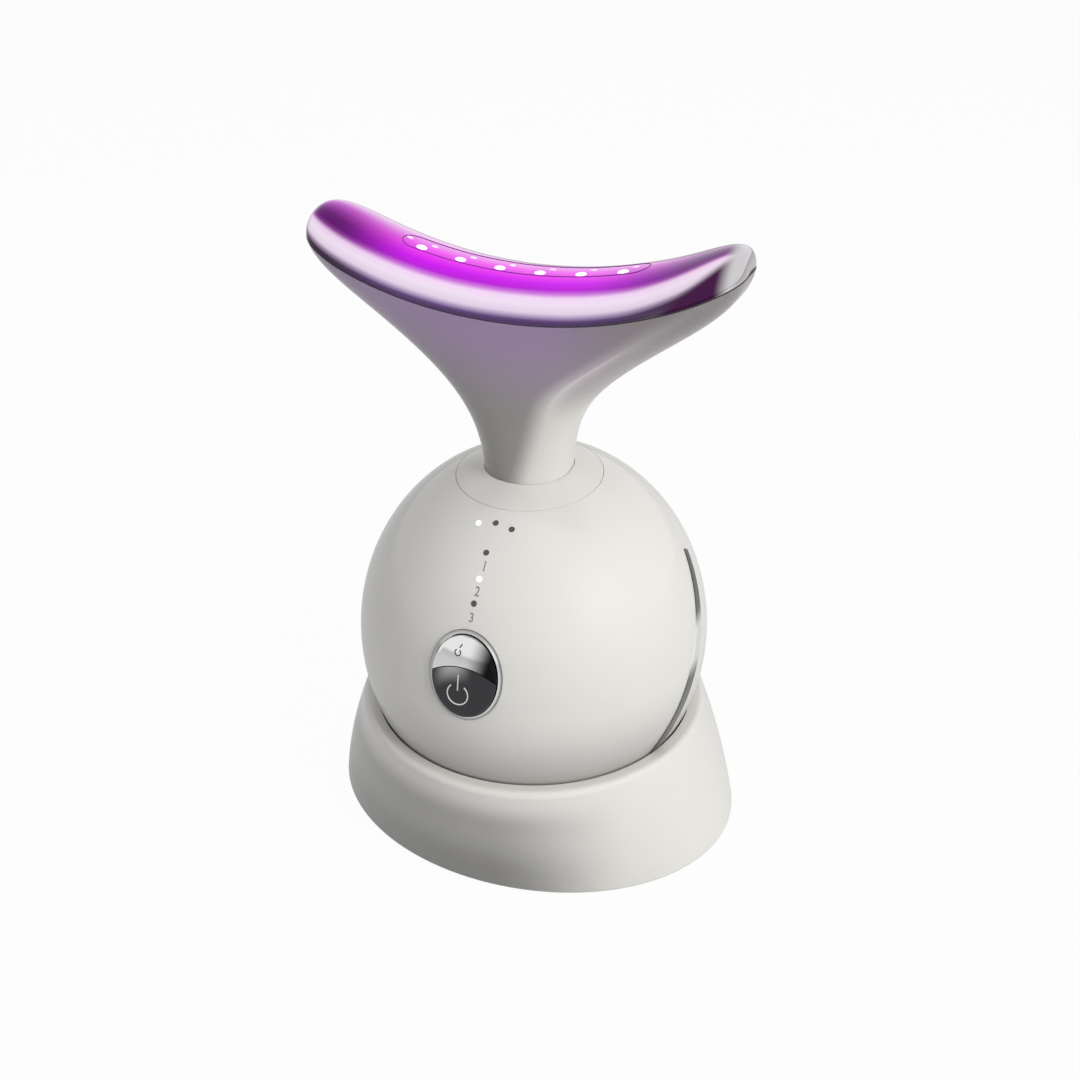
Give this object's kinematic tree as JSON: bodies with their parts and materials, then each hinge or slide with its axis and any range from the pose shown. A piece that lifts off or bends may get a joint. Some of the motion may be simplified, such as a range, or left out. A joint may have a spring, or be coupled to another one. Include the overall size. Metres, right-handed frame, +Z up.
{
  "type": "facial toning device",
  "caption": "Egg-shaped handset with oval power buttons and a horned, mirror-finish light head, standing upright in an oval charging cradle it lifts out of.",
  "frame": {"origin": "middle of the cradle's underside, on the table", "axes": "+Z up, -Y the side with the buttons, +X along the head to the viewer's right when facing the buttons"},
  "size_m": [0.0962, 0.0806, 0.1402],
  "materials": {
    "shell_white": "warm white, glossy",
    "chrome_bright": "mirror plated",
    "chrome_dark": "smoked mirror plating",
    "light_window": "clear, lit magenta from below",
    "light_pipe": "clear, polished end",
    "led_chip": "clear epoxy over phosphor",
    "circuit_board": "solder mask",
    "board_white": "white solder mask",
    "zinc_screw": "zinc plated",
    "gold_contact": "gold plated",
    "battery_foil": "matt pouch foil",
    "inner_plastic": "moulded, matt",
    "white_plastic": "moulded, matt",
    "black_rubber": "matt",
    "grey_rubber": "soft, matt",
    "heater_film": "amber film",
    "motor_steel": "nickel plated can",
    "tungsten": "sintered metal",
    "socket_steel": "nickel plated",
    "cable_sheath": "matt sleeve"
  },
  "bodies": {
    "cradle": {"cradle_shell": "shell_white", "base_plate": "white_plastic", "foot_pad": "grey_rubber", "base_screws": "zinc_screw", "base_board": "circuit_board", "base_board_screws": "zinc_screw", "usb_socket": "socket_steel", "pin_holder": "inner_plastic"},
    "pin_left": {"charge_pin_left": "gold_contact"},
    "pin_right": {"charge_pin_right": "gold_contact"},
    "upper_key": {"upper_button": "chrome_bright", "upper_switch_plunger": "white_plastic"},
    "lower_key": {"lower_button": "chrome_dark", "lower_switch_plunger": "white_plastic"},
    "motor_rotor": {"motor_weight": "tungsten"},
    "handset": {"front_shell": "shell_white", "rear_shell": "shell_white", "side_trim_left": "chrome_bright", "side_trim_right": "chrome_bright", "shell_screws": "zinc_screw", "screw_caps": "shell_white", "neck_collar": "shell_white", "neck_horn": "shell_white", "neck_clamp": "white_plastic", "neck_screws": "zinc_screw", "electrode_cap": "chrome_bright", "light_window": "light_window", "head_gasket": "grey_rubber", "head_carrier": "white_plastic", "head_screws": "zinc_screw", "led_board": "board_white", "head_leds": "led_chip", "heating_film": "heater_film", "thermal_pads": "grey_rubber", "electrode_contact": "gold_contact", "vibration_motor": "motor_steel", "motor_cushion": "black_rubber", "button_bezel": "chrome_bright", "upper_switch": "inner_plastic", "lower_switch": "inner_plastic", "main_board": "circuit_board", "indicator_board": "circuit_board", "board_screws": "zinc_screw", "indicator_leds": "led_chip", "indicator_lights": "light_pipe", "battery": "battery_foil", "battery_tray": "white_plastic", "tray_screws": "zinc_screw", "charge_contacts": "gold_contact", "neck_cable": "cable_sheath"}
  },
  "joints": [
    {"name": "handset_lift", "type": "slide", "parent": "cradle", "child": "handset", "axis": [0, 0, 1], "range_m": [0, 0.06]},
    {"name": "upper_press", "type": "slide", "parent": "handset", "child": "upper_key", "axis": [0, 0.9749, -0.2228], "range_m": [0, 0.0005], "stiffness_N_per_m": 800},
    {"name": "lower_press", "type": "slide", "parent": "handset", "child": "lower_key", "axis": [0, 0.9749, -0.2228], "range_m": [0, 0.0005], "stiffness_N_per_m": 800},
    {"name": "motor_spin", "type": "hinge", "parent": "handset", "child": "motor_rotor", "pos_m": [0, -0.00491, 0.1124], "axis": [1, 0, 0], "continuous": true},
    {"name": "pin_left_press", "type": "slide", "parent": "cradle", "child": "pin_left", "axis": [0, 0, -1], "range_m": [0, 0.001], "stiffness_N_per_m": 300},
    {"name": "pin_right_press", "type": "slide", "parent": "cradle", "child": "pin_right", "axis": [0, 0, -1], "range_m": [0, 0.001], "stiffness_N_per_m": 300}
  ]
}
